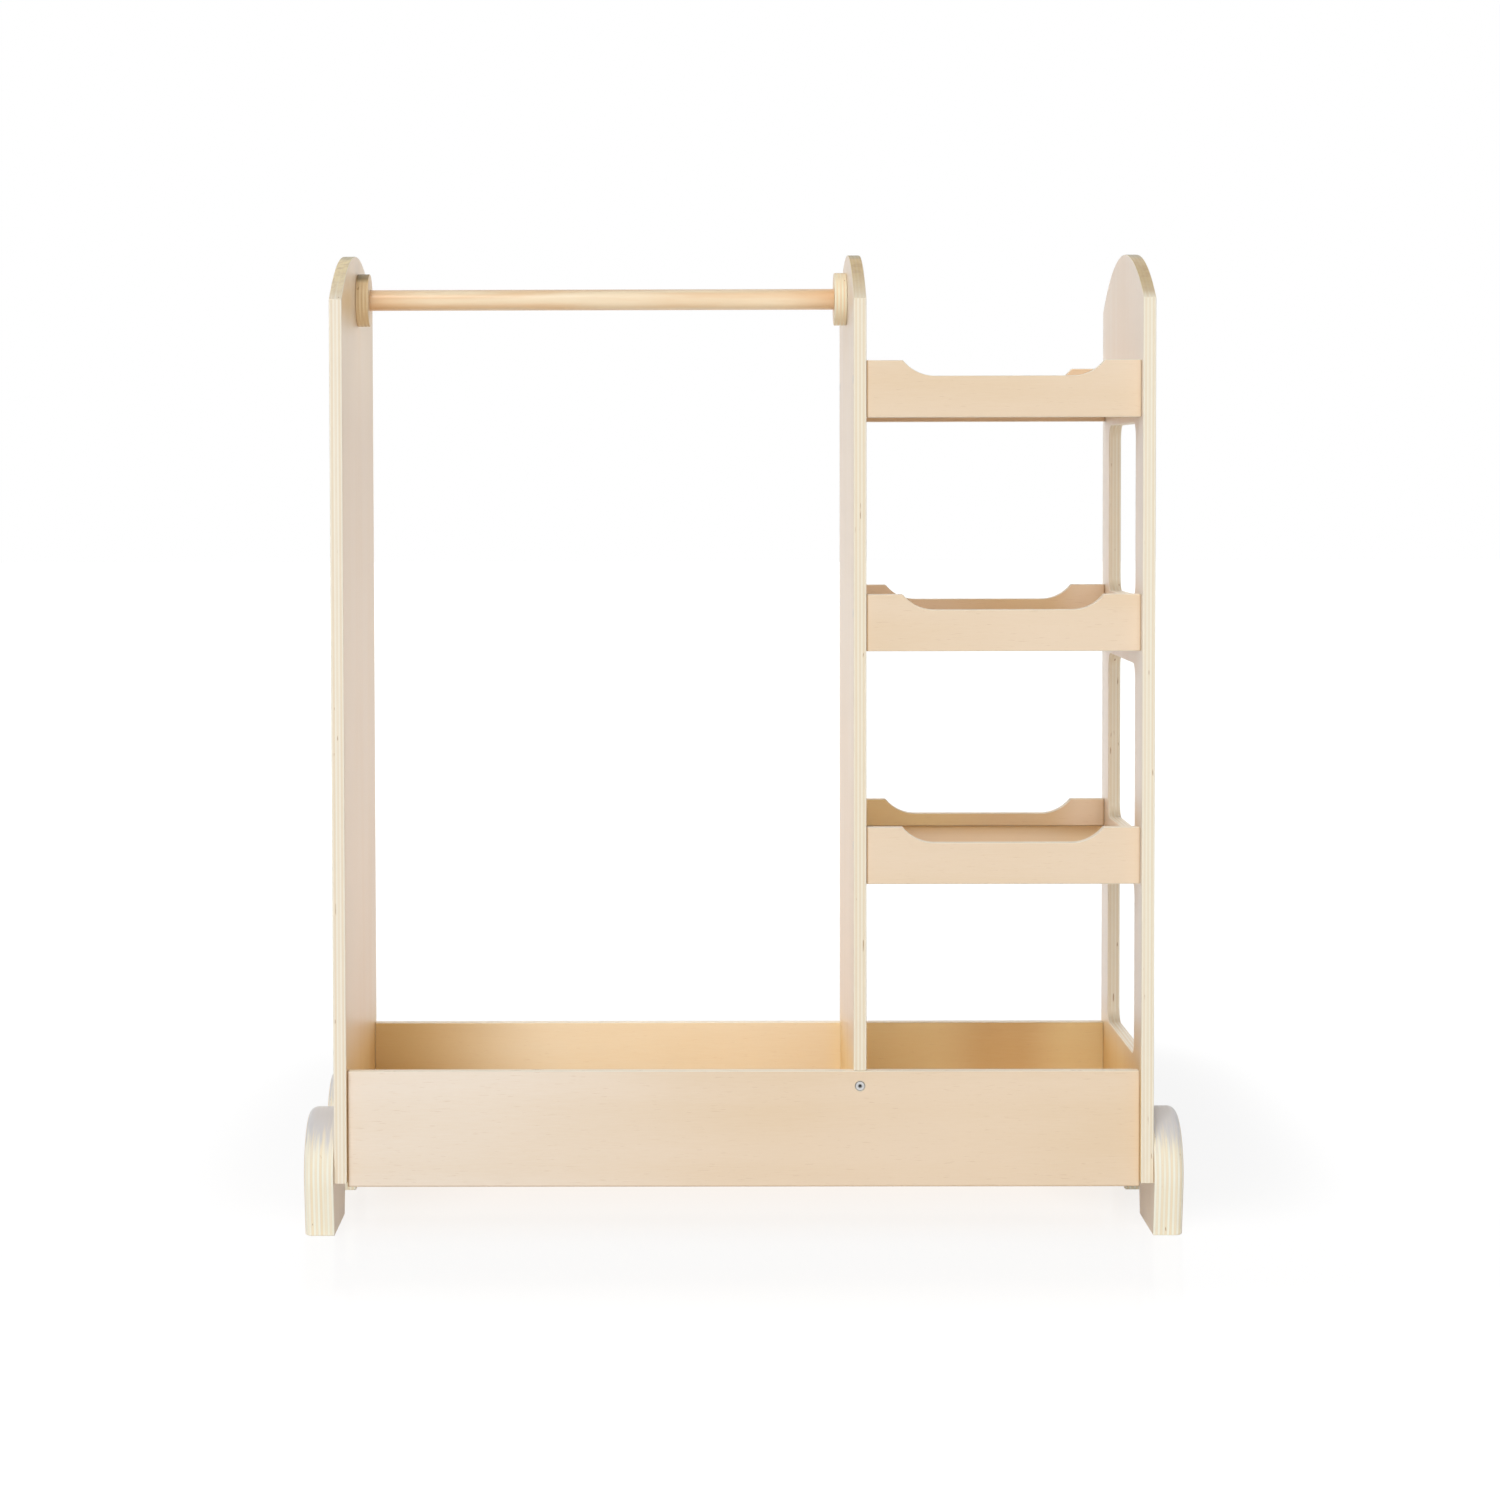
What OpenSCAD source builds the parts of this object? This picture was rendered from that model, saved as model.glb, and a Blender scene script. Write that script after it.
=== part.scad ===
// Costume storage closet for children, built of plywood boards.
// Millimetres. +X is to the right, +Y to the back, +Z up. The origin is on the floor,
// under the middle of the closet, so the front faces -Y.

/* [Boards] */
// Thickness of every plywood board
board_t = 15; // [12:1:19]
// Depth of the two side panels, front edge to back edge
panel_depth = 380; // [320:5:440]
// Height of the top of the arches above the floor
panel_top = 1146; // [1000:2:1300]
// Height of the lower edge of the side panels above the floor
panel_bottom = 62; // [50:1:70]
// Height of the arch above the corners where it starts
arch_rise = 60; // [30:1:100]
// Clear width of the hanging bay
left_bay_w = 588; // [450:2:700]
// Clear width of the tray bay
right_bay_w = 317; // [260:1:400]
// Play left between two pieces that touch
fit_gap = 0.15; // [0.05:0.05:0.3]

/* [Storage bin] */
// Height of the lower edge of the bin boards above the floor
bin_bottom = 57; // [45:1:62]
// Height of the bin boards
bin_h = 135; // [115:1:145]
// How far the bin front and the divider sit behind the front edges
bin_setback = 8; // [2:1:14]
// Thickness of the bin floor
floor_t = 9; // [6:1:12]
// Height of the floor above the lower edge of the bin boards
floor_up = 12; // [8:1:20]
// Depth of the grooves that hold the floor and the tray shelves
groove_d = 5; // [3:0.5:6]
// Distance of the bin screws below the top of the bin boards
bin_screw_down = 17.5; // [15:0.5:20]
// Height of the lower dowels above the lower edge of the bin boards
low_dowel_up = 38; // [34:1:44]
// Height of the upper dowels above the lower edge of the bin boards
high_dowel_up = 78; // [70:1:80]

/* [Trays] */
// Height of the lower edge of the bottom tray above the floor
tray_bottom = 409; // [400:1:430]
// Distance from the lower edge of the top tray up to the top of the arches
tray_drop = 197; // [190:1:220]
// Height of the tray rails
rail_h = 66; // [56:1:74]
// How far the tray rails sit behind the front edges
rail_setback = 12; // [8:1:20]
// Length of the flat shoulder at each end of a rail
shoulder_w = 42; // [30:1:60]
// Length of the curved run from a shoulder down to the low edge
scoop_run = 37; // [28:1:44]
// Drop from the shoulder to the low edge
scoop_drop = 18; // [12:1:22]
// Height of the underside of the shelf above the lower edge of the rails
shelf_up = 17; // [14:0.5:20]
// Height of the tray screws above the shelf
tray_screw_over = 12; // [10:1:14]

/* [Windows] */
// Distance from a window to the front and back edges of the panel
stile_w = 65; // [50:1:90]
// Radius of the window corners
window_r = 18; // [10:1:40]
// Height of the lower window above the top of the bin
low_window_up = 9; // [6:1:20]
// Space between the lower window and the bottom tray
low_window_gap = 4; // [2:1:20]
// Height of the middle window above the lower edge of the bottom tray
mid_window_up = 48; // [40:1:60]
// Space between the middle window and the middle tray
mid_window_gap = 18; // [4:1:30]
// Height of the upper window above the lower edge of the middle tray
high_window_up = 60; // [50:1:70]
// Space between the upper window and the top tray
high_window_gap = 6; // [4:1:30]

/* [Hanging rod] */
// Diameter of the rod
rod_d = 25; // [20:1:30]
// Distance of the rod's centre below the top of the arches
rod_drop = 52; // [48:1:200]
// Diameter of the round sockets
socket_d = 63; // [56:1:80]
// Distance of the two socket dowels from the centre of the rod
socket_dowel_r = 22; // [20:0.5:24]

/* [Feet] */
// Thickness of a foot
foot_t = 35; // [28:1:40]
// Radius of the round head of a foot
foot_r = 70; // [60:1:75]
// Slope of the sides of a foot below its round head, in degrees
foot_taper = 11; // [4:1:16]
// How far a foot reaches past the front or back edge of its panel
foot_reach = 6; // [0:1:12]
// Radius of the rounded outer edge of a foot
foot_edge_r = 10; // [4:1:14]
// Height of the foot bolts above the floor
foot_bolt_z = 100; // [90:1:110]
// Distance between the two bolts of one foot
foot_bolt_gap = 50; // [36:1:60]

/* [Fasteners] */
// Diameter of the screw heads
screw_head_d = 11; // [9:0.5:12]
// Thickness of the screw heads
screw_head_h = 3; // [2:0.5:4]
// Diameter of the screw shanks
screw_d = 5.5; // [4:0.5:6]
// Length of the connector screws
screw_len = 50; // [40:1:60]
// Distance across the flats of the key socket in a screw head
key_w = 4; // [3:0.5:5]
// Diameter of the wooden dowels
dowel_d = 6; // [5:0.5:8]
// Length of the wooden dowels
dowel_len = 26; // [20:1:30]
// Depth of the dowel holes in the face of a board
dowel_in = 8; // [6:0.5:10]
// Length of the foot bolts
bolt_len = 26; // [24:1:28]
// Outer diameter of the threaded inserts in the feet
insert_d = 9.5; // [8.5:0.5:12]
// Length of the threaded inserts
insert_len = 13; // [10:1:16]

/* [Hidden] */
$fn = 96;
eps = 1;                       // how far a cutting shape runs past a face
total_w = 3 * board_t + left_bay_w + right_bay_w;
left_x = -total_w / 2;         // outer face of the left side panel
left_in = left_x + board_t;
divider_x = left_in + left_bay_w;
tray_x = divider_x + board_t;  // right face of the divider
right_in = tray_x + right_bay_w;
right_x = right_in + board_t;
front_y = -panel_depth / 2;
board_y = front_y + bin_setback;
bin_top = bin_bottom + bin_h;
bin_screw_z = bin_top - bin_screw_down;
bin_dowel_z = [bin_bottom + low_dowel_up, bin_bottom + high_dowel_up];
floor_z = bin_bottom + floor_up;
floor_top = floor_z + floor_t;
rail_y = front_y + rail_setback;
rail_x = tray_x + fit_gap;
rail_len = right_bay_w - 2 * fit_gap;
shelf_t = board_t;
top_tray_z = panel_top - tray_drop;
tray_levels = [tray_bottom, (tray_bottom + top_tray_z) / 2, top_tray_z];
rail_screw_up = shelf_up + shelf_t + tray_screw_over;
rail_dowel_up = shelf_up / 2;
foot_y = front_y - foot_reach + foot_r;
bolt_ys = [foot_y - foot_bolt_gap / 2, foot_y + foot_bolt_gap / 2];
window_w = panel_depth - 2 * stile_w;
rod_z = panel_top - rod_drop;
key_depth = 2.2;

birch = [0.93, 0.85, 0.72];
birch_edge = [0.90, 0.80, 0.65];
pine = [0.95, 0.86, 0.72];
steel = [0.72, 0.72, 0.74];
beech = [0.86, 0.74, 0.58];

// A shape drawn in the Y-Z plane and given its thickness along X
module across_x(x, thickness) {
    translate([x, 0, 0]) rotate([90, 0, 90]) linear_extrude(thickness) children();
}

// A shape drawn in the X-Z plane and given its thickness along Y
module across_y(y, thickness) {
    translate([0, y + thickness, 0]) rotate([90, 0, 0]) linear_extrude(thickness) children();
}

// Upright board with an arched top, in the Y-Z plane
module arched_outline(depth, bottom) {
    arc_r = (depth * depth / 4 + arch_rise * arch_rise) / (2 * arch_rise);
    corner_z = panel_top - arch_rise;
    translate([-depth / 2, bottom]) square([depth, corner_z - bottom]);
    intersection() {
        translate([0, panel_top - arc_r]) circle(r = arc_r);
        translate([-depth / 2, corner_z - eps]) square([depth, arch_rise + 2 * eps]);
    }
}

// Round hole or pin along X, from x for the given length
module pin_x(x, y, z, len, d) {
    translate([x, y, z]) rotate([0, 90, 0]) cylinder(h = len, d = d);
}

// Round hole or pin along Y, from y for the given length
module pin_y(x, y, z, len, d) {
    translate([x, y, z]) rotate([-90, 0, 0]) cylinder(h = len, d = d);
}

// Connector screw along +Z with its head at the origin
module screw(len) {
    difference() {
        union() {
            cylinder(h = screw_head_h, d = screw_head_d);
            translate([0, 0, screw_head_h - eps]) cylinder(h = len - screw_head_h + eps, d = screw_d);
        }
        translate([0, 0, -eps]) cylinder(h = key_depth + eps, d = key_w / cos(30), $fn = 6);
    }
}

// Stepped hole that the connector screw sits in
module screw_hole(len) {
    translate([0, 0, -eps]) cylinder(h = screw_head_h + fit_gap + eps, d = screw_head_d + 2 * fit_gap);
    cylinder(h = len + eps, d = screw_d + 2 * fit_gap);
}

// Places its child at a point, turned so that +Z points to +X, -X, +Y or -Y
module aim(pos, dir) {
    turn = dir == "+x" ? [0, 90, 0] : dir == "-x" ? [0, -90, 0] : dir == "+y" ? [-90, 0, 0] : [90, 0, 0];
    translate(pos) rotate(turn) children();
}

// Front and back place of a board that stands in both halves of the closet
module front_and_back() {
    children();
    mirror([0, 1, 0]) children();
}

// Screws through the side panels into the ends of the bin boards
module at_bin_corner_screws() {
    front_and_back() {
        aim([left_x, board_y + board_t / 2, bin_screw_z], "+x") children();
        aim([right_x, board_y + board_t / 2, bin_screw_z], "-x") children();
    }
}

module bin_corner_pins(gap) {
    for (z = bin_dowel_z) front_and_back() {
        pin_x(left_in - dowel_in + fit_gap - gap, board_y + board_t / 2, z, dowel_len + 2 * gap, dowel_d + 2 * gap);
        pin_x(right_in - dowel_len + dowel_in - fit_gap - gap, board_y + board_t / 2, z,
            dowel_len + 2 * gap, dowel_d + 2 * gap);
    }
}

// Screws through the bin boards into the edges of the divider
module at_divider_screws() {
    front_and_back() aim([divider_x + board_t / 2, board_y, bin_screw_z], "+y") children();
}

module divider_pins(gap) {
    front_and_back() pin_y(divider_x + board_t / 2, board_y + board_t - dowel_in + fit_gap - gap,
        bin_dowel_z[0], dowel_len + 2 * gap, dowel_d + 2 * gap);
}

// Screws into the left and the right ends of all tray rails
module at_tray_screws(x, dir) {
    for (z = tray_levels) front_and_back()
        aim([x, rail_y + board_t / 2, z + rail_screw_up], dir) children();
}

module tray_pins(gap) {
    for (z = tray_levels) front_and_back() {
        pin_x(tray_x - dowel_in + fit_gap - gap, rail_y + board_t / 2, z + rail_dowel_up,
            dowel_len + 2 * gap, dowel_d + 2 * gap);
        pin_x(right_in - dowel_len + dowel_in - fit_gap - gap, rail_y + board_t / 2, z + rail_dowel_up,
            dowel_len + 2 * gap, dowel_d + 2 * gap);
    }
}

module at_rod_screws() {
    aim([left_x, 0, rod_z], "+x") children();
    aim([tray_x, 0, rod_z], "-x") children();
}

module socket_pins(gap) {
    pin_len = dowel_in + board_t - 4;
    front_and_back() {
        pin_x(left_in - dowel_in + fit_gap - gap, socket_dowel_r, rod_z, pin_len + 2 * gap, dowel_d + 2 * gap);
        pin_x(divider_x + dowel_in - pin_len - fit_gap - gap, socket_dowel_r, rod_z,
            pin_len + 2 * gap, dowel_d + 2 * gap);
    }
}

// Bolts through the side panels into the feet, heads let into the inner faces
module at_foot_bolts() {
    for (y = bolt_ys) front_and_back() {
        aim([left_in, y, foot_bolt_z], "-x") children();
        aim([right_in, y, foot_bolt_z], "+x") children();
    }
}

module at_foot_inserts() {
    for (y = bolt_ys) front_and_back() {
        aim([left_x - fit_gap, y, foot_bolt_z], "-x") children();
        aim([right_x + fit_gap, y, foot_bolt_z], "+x") children();
    }
}

module side_panel_left() {
    color(birch) difference() {
        across_x(left_x, board_t) arched_outline(panel_depth, panel_bottom);
        at_bin_corner_screws() screw_hole(screw_len);
        bin_corner_pins(fit_gap);
        at_rod_screws() screw_hole(screw_len);
        socket_pins(fit_gap);
        at_foot_bolts() screw_hole(bolt_len);
    }
}

module window(bottom, top) {
    inner_w = window_w / 2 - window_r;
    translate([-inner_w, bottom]) square([2 * inner_w, top - bottom]);
    translate([-window_w / 2, bottom + window_r]) square([window_w, top - bottom - 2 * window_r]);
    for (y = [-inner_w, inner_w], z = [bottom + window_r, top - window_r])
        translate([y, z]) circle(r = window_r);
}

module side_panel_right() {
    color(birch) difference() {
        across_x(right_in, board_t) difference() {
            arched_outline(panel_depth, panel_bottom);
            window(bin_top + low_window_up, tray_levels[0] - low_window_gap);
            window(tray_levels[0] + mid_window_up, tray_levels[1] - mid_window_gap);
            window(tray_levels[1] + high_window_up, tray_levels[2] - high_window_gap);
        }
        at_bin_corner_screws() screw_hole(screw_len);
        bin_corner_pins(fit_gap);
        at_tray_screws(right_x, "-x") screw_hole(screw_len);
        tray_pins(fit_gap);
        at_foot_bolts() screw_hole(bolt_len);
    }
}

// The divider is narrower below, where it stands between the bin boards on the bin floor
module divider_panel() {
    depth = panel_depth - 2 * bin_setback;
    inner_depth = depth - 2 * board_t - 2 * fit_gap;
    color(birch) difference() {
        across_x(divider_x, board_t) {
            arched_outline(depth, bin_top + fit_gap);
            translate([-inner_depth / 2, floor_top + fit_gap])
                square([inner_depth, bin_top - floor_top + eps]);
        }
        at_divider_screws() screw_hole(screw_len);
        divider_pins(fit_gap);
        at_tray_screws(divider_x, "+x") screw_hole(screw_len);
        tray_pins(fit_gap);
        at_rod_screws() screw_hole(screw_len);
        socket_pins(fit_gap);
    }
}

// Front or back board of the bin, with the groove that holds the floor
module bin_board() {
    len = right_in - left_in - 2 * fit_gap;
    color(birch) difference() {
        translate([left_in + fit_gap, board_y, bin_bottom]) cube([len, board_t, bin_h]);
        translate([left_in, board_y + board_t - groove_d, floor_z - fit_gap])
            cube([right_in - left_in, groove_d + eps, floor_t + 2 * fit_gap]);
        at_bin_corner_screws() screw_hole(screw_len);
        bin_corner_pins(fit_gap);
        at_divider_screws() screw_hole(screw_len);
        divider_pins(fit_gap);
    }
}

module bin_front_board() { bin_board(); }

module bin_back_board() { mirror([0, 1, 0]) bin_board(); }

module bin_floor() {
    y = board_y + board_t - groove_d + fit_gap;
    color(birch) translate([left_in + fit_gap, y, floor_z])
        cube([right_in - left_in - 2 * fit_gap, -2 * y, floor_t]);
}

// Outline of a tray rail, with its scooped upper edge
module rail_outline() {
    scoop_r = (scoop_run * scoop_run + scoop_drop * scoop_drop) / (2 * scoop_drop);
    low_a = shoulder_w + scoop_run;
    low_b = rail_len - low_a;
    difference() {
        square([rail_len, rail_h]);
        translate([low_a, rail_h - scoop_drop]) square([low_b - low_a, scoop_drop + eps]);
        for (x = [low_a, low_b]) translate([x, rail_h - scoop_drop + scoop_r]) circle(r = scoop_r);
    }
}

module tray_rail(z) {
    color(birch) difference() {
        translate([rail_x, 0, z]) across_y(rail_y, board_t) rail_outline();
        translate([tray_x, rail_y + board_t - groove_d, z + shelf_up - fit_gap])
            cube([right_bay_w, groove_d + eps, shelf_t + 2 * fit_gap]);
        at_tray_screws(divider_x, "+x") screw_hole(screw_len);
        at_tray_screws(right_x, "-x") screw_hole(screw_len);
        tray_pins(fit_gap);
    }
}

module tray_shelf(z) {
    y = rail_y + board_t - groove_d + fit_gap;
    color(birch) translate([rail_x, y, z + shelf_up]) cube([rail_len, -2 * y, shelf_t]);
}

module top_tray_front_rail() { tray_rail(tray_levels[2]); }

module top_tray_back_rail() { mirror([0, 1, 0]) tray_rail(tray_levels[2]); }

module top_tray_shelf() { tray_shelf(tray_levels[2]); }

module middle_tray_front_rail() { tray_rail(tray_levels[1]); }

module middle_tray_back_rail() { mirror([0, 1, 0]) tray_rail(tray_levels[1]); }

module middle_tray_shelf() { tray_shelf(tray_levels[1]); }

module bottom_tray_front_rail() { tray_rail(tray_levels[0]); }

module bottom_tray_back_rail() { mirror([0, 1, 0]) tray_rail(tray_levels[0]); }

module bottom_tray_shelf() { tray_shelf(tray_levels[0]); }

module hanging_rod() {
    color(pine) difference() {
        pin_x(left_in + fit_gap, 0, rod_z, left_bay_w - 2 * fit_gap, rod_d);
        at_rod_screws() screw_hole(screw_len);
    }
}

module rod_socket(x) {
    color(birch_edge) difference() {
        pin_x(x, 0, rod_z, board_t, socket_d);
        pin_x(x - eps, 0, rod_z, board_t + 2 * eps, rod_d + 2 * fit_gap);
        socket_pins(fit_gap);
    }
}

module rod_socket_left() { rod_socket(left_in + fit_gap); }

module rod_socket_right() { rod_socket(divider_x - board_t - fit_gap); }

// Half of a foot cut through its head's axis, with the outer edge rounded
module foot_section() {
    square([foot_r - foot_edge_r, foot_t]);
    square([foot_r, foot_t - foot_edge_r]);
    translate([foot_r - foot_edge_r, foot_t - foot_edge_r]) circle(r = foot_edge_r);
}

// A foot lying on its inner face: a round head with sloping sides, cut off flat by the sole
module foot_body() {
    side_len = foot_r / cos(foot_taper);
    difference() {
        translate([0, foot_r, 0]) {
            rotate_extrude() foot_section();
            for (side = [0, 1]) mirror([side, 0, 0])
                rotate([0, 0, -foot_taper]) rotate([90, 0, 0]) linear_extrude(side_len) foot_section();
        }
        translate([-foot_r, -foot_r, -eps]) cube([2 * foot_r, foot_r, foot_t + 2 * eps]);
    }
}

// A foot with its inner face at x, its middle at y and its outer face turned to one side
module foot(x, y, turn) {
    color(birch_edge) difference() {
        translate([x, y, 0]) rotate([90, 0, turn]) foot_body();
        at_foot_inserts() cylinder(h = insert_len + fit_gap, d = insert_d + 2 * fit_gap);
        at_foot_bolts() screw_hole(bolt_len);
    }
}

module foot_front_left() { foot(left_x - fit_gap, foot_y, -90); }

module foot_back_left() { foot(left_x - fit_gap, -foot_y, -90); }

module foot_front_right() { foot(right_x + fit_gap, foot_y, 90); }

module foot_back_right() { foot(right_x + fit_gap, -foot_y, 90); }

module divider_screws() { color(steel) at_divider_screws() screw(screw_len); }

module divider_dowels() { color(beech) divider_pins(0); }

module bin_corner_screws() { color(steel) at_bin_corner_screws() screw(screw_len); }

module bin_corner_dowels() { color(beech) bin_corner_pins(0); }

module tray_screws_divider_side() { color(steel) at_tray_screws(divider_x, "+x") screw(screw_len); }

module tray_screws_right_side() { color(steel) at_tray_screws(right_x, "-x") screw(screw_len); }

module tray_dowels() { color(beech) tray_pins(0); }

module rod_end_screws() { color(steel) at_rod_screws() screw(screw_len); }

module rod_socket_dowels() { color(beech) socket_pins(0); }

module foot_bolts() { color(steel) at_foot_bolts() screw(bolt_len); }

// Sleeve with a bore for the foot bolt, let into the inner face of a foot
module foot_inserts() {
    color(steel) at_foot_inserts() difference() {
        cylinder(h = insert_len, d = insert_d);
        translate([0, 0, -eps]) cylinder(h = insert_len + 2 * eps, d = screw_d + 2 * fit_gap);
    }
}

side_panel_left();
side_panel_right();
divider_panel();
bin_front_board();
bin_back_board();
bin_floor();
top_tray_front_rail();
top_tray_back_rail();
top_tray_shelf();
middle_tray_front_rail();
middle_tray_back_rail();
middle_tray_shelf();
bottom_tray_front_rail();
bottom_tray_back_rail();
bottom_tray_shelf();
hanging_rod();
rod_socket_left();
rod_socket_right();
foot_front_left();
foot_back_left();
foot_front_right();
foot_back_right();
divider_screws();
divider_dowels();
bin_corner_screws();
bin_corner_dowels();
tray_screws_divider_side();
tray_screws_right_side();
tray_dowels();
rod_end_screws();
rod_socket_dowels();
foot_bolts();
foot_inserts();
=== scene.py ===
# %% [markdown]
# # A costume closet in clear-lacquered birch plywood
# This notebook dresses a children's costume closet. Its boards, rod, feet and screws are already exact
# solids; here they get a camera, a plain studio, softly rounded edges and wooden finishes that are worked
# out from the place of each point in its board.

# %% Load the closet
import math
import bpy
from mathutils import Matrix, Vector


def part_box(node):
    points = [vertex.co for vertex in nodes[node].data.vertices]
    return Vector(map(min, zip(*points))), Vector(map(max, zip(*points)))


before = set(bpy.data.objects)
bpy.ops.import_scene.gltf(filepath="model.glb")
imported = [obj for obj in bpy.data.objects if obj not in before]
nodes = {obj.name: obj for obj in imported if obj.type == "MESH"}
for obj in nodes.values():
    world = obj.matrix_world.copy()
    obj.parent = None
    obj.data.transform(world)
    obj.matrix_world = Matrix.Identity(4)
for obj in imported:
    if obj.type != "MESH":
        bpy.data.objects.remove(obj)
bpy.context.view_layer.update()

# %% [markdown]
# ## The camera
# The closet is seen from the front through a long lens. The camera stands a little left of its middle, at
# about three quarters of its height and 3.9 m away, and looks down by two degrees. A small lens shift puts
# the closet where it stands in the picture, so the camera doesn't have to turn for that.

# %% Place the camera
IMAGE = 1500                      # side of the square picture, in pixels
FOCAL = 3380.6                    # focal length in pixels
CENTRE = (666.9, 605.2)           # where the lens looks, in pixels from the top left
SENSOR = 36.0                     # width of the sensor, in millimetres
FAR = 100.0                       # nothing further off than this is drawn, in metres
STAND = (-0.0604, -4.080, 0.8841)           # where the camera stands, in metres
TURN, DOWN, ROLL = 0.0069, 0.0387, -0.0023  # in radians
lens = bpy.data.cameras.new("camera")
lens.sensor_width = SENSOR
lens.lens = FOCAL * SENSOR / IMAGE
lens.shift_x = (IMAGE / 2 - CENTRE[0]) / IMAGE
lens.shift_y = (CENTRE[1] - IMAGE / 2) / IMAGE
lens.clip_end = FAR
camera = bpy.data.objects.new("camera", lens)
bpy.context.scene.collection.objects.link(camera)
camera.matrix_world = (Matrix.Translation(STAND) @ Matrix.Rotation(TURN, 4, "Z")
                       @ Matrix.Rotation(math.pi / 2 - DOWN, 4, "X") @ Matrix.Rotation(ROLL, 4, "Z"))
bpy.context.scene.camera = camera
print("lens", round(lens.lens, 2), "mm, shift", round(lens.shift_x, 4), round(lens.shift_y, 4))

# %% [markdown]
# ## Shader sums in Python
# A finish is a formula: sheets repeat through the thickness of a board, grain runs along it. Wiring that by
# hand takes dozens of Math nodes. The small class below wraps a socket, so that a line such as
# 1 - mask * 0.3 adds those nodes itself. It only handles single numbers, because a Math node turns a colour
# grey.

# %% A wrapper for sockets
class Wire:
    def __init__(self, recipe, socket):
        self.recipe, self.socket = recipe, socket

    def do(self, operation, *values):
        return self.recipe.node("ShaderNodeMath", {"operation": operation}, dict(enumerate(values)))

    def __add__(self, other): return self.do("ADD", self, other)
    def __radd__(self, other): return self.do("ADD", other, self)
    def __sub__(self, other): return self.do("SUBTRACT", self, other)
    def __rsub__(self, other): return self.do("SUBTRACT", other, self)
    def __mul__(self, other): return self.do("MULTIPLY", self, other)
    def __pow__(self, other): return self.do("POWER", self, other)
    def __abs__(self): return self.do("ABSOLUTE", self)
    def floor(self): return self.do("FLOOR", self)
    def fraction(self): return self.do("FRACT", self)
    def sine(self): return self.do("SINE", self)
    def larger(self, other): return self.do("MAXIMUM", self, other)
    def smaller(self, other): return self.do("MINIMUM", self, other)

    def rise(self, low, high):
        """0 at low, 1 at high, and an S curve between them; low may be the larger number."""
        return self.recipe.node("ShaderNodeMapRange", {"interpolation_type": "SMOOTHSTEP"},
                                {"Value": self, "From Min": low, "From Max": high})

    def twin(self, name):
        """Another output of the same node."""
        return Wire(self.recipe, self.socket.node.outputs[name])


print("a wire knows", [name for name, value in vars(Wire).items() if callable(value) and name != "__init__"])

# %% [markdown]
# ## One recipe, one node tree
# Every other node comes from one method: it takes the type of the node, its settings, then the numbers or
# wires for its sockets. Colours are mixed by Mix nodes. Whatever is the same all over a surface is written
# on the shader's own socket, and only what changes from place to place is wired.

# %% The recipe
X, Y, Z = 0, 1, 2                 # the axes: width, depth and height


class Recipe:
    def __init__(self, owner):
        owner.use_nodes = True
        self.owner, self.tree = owner, owner.node_tree

    def node(self, kind, settings=None, sockets=None, out=0):
        new = self.tree.nodes.new(kind)
        for key, value in (settings or {}).items():
            setattr(new, key, value)
        for key, value in (sockets or {}).items():
            if isinstance(value, Wire):
                self.tree.links.new(value.socket, new.inputs[key])
            else:
                new.inputs[key].default_value = value
        return Wire(self, new.outputs[out]) if new.outputs else new

    def mix(self, share, first, second):
        return self.node("ShaderNodeMix", {"data_type": "RGBA"}, {0: share, 6: first, 7: second}, out=2)

    def parts(self, vector):
        first = self.node("ShaderNodeSeparateXYZ", {}, {0: vector})
        return [first, first.twin(1), first.twin(2)]

    def stretched(self, vector, factor, *axes):
        """A factor under 1 draws a pattern out along the axes, one over 1 squeezes it."""
        factors = [factor if axis in axes else 1.0 for axis in (X, Y, Z)]
        return self.node("ShaderNodeVectorMath", {"operation": "MULTIPLY"}, {0: vector, 1: factors})

    def noise(self, vector, scale, detail=2.0, rough=0.5, seed=0.0):
        return self.node("ShaderNodeTexNoise", {"noise_dimensions": "4D"},
                         {"Vector": vector, "W": seed, "Scale": scale, "Detail": detail, "Roughness": rough})


print("a recipe has", [name for name in vars(Recipe) if not name.startswith("_")])

# %% [markdown]
# ## Colours, and the end of every recipe
# Colours are easiest to choose as they look on a screen, but a shader counts light, so each one is turned
# into linear light. Lacquer closes a recipe: it wires the three things that vary, which are colour,
# roughness and relief, and writes the rest on the shader. The relief of sanded birch is hardly felt, so the
# bump is a fifth of a millimetre at most.

# %% Screen colours and lacquer
def srgb(red, green, blue):
    """A colour as read from a screen, 0 to 255, in the linear light that a shader needs."""
    part = [v / 255 for v in (red, green, blue)]
    return (*[v / 12.92 if v <= 0.04045 else ((v + 0.055) / 1.055) ** 2.4 for v in part], 1.0)


def lacquer(r, colour, rough, relief, depth=0.0002, strength=0.35, **fixed):
    """Wires a recipe's colour, roughness and relief to its shader, and writes the fixed values on it."""
    shader = r.tree.nodes["Principled BSDF"]
    r.tree.links.new(colour.socket, shader.inputs["Base Color"])
    r.tree.links.new(rough.socket, shader.inputs["Roughness"])
    bump = r.node("ShaderNodeBump", {}, {"Height": relief, "Distance": depth, "Strength": strength})
    r.tree.links.new(bump.socket, shader.inputs["Normal"])
    for key, value in fixed.items():
        shader.inputs[key.replace("_", " ")].default_value = value
    return r.owner


print("birch in linear light", [round(v, 3) for v in srgb(240, 219, 192)[:3]])

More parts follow.
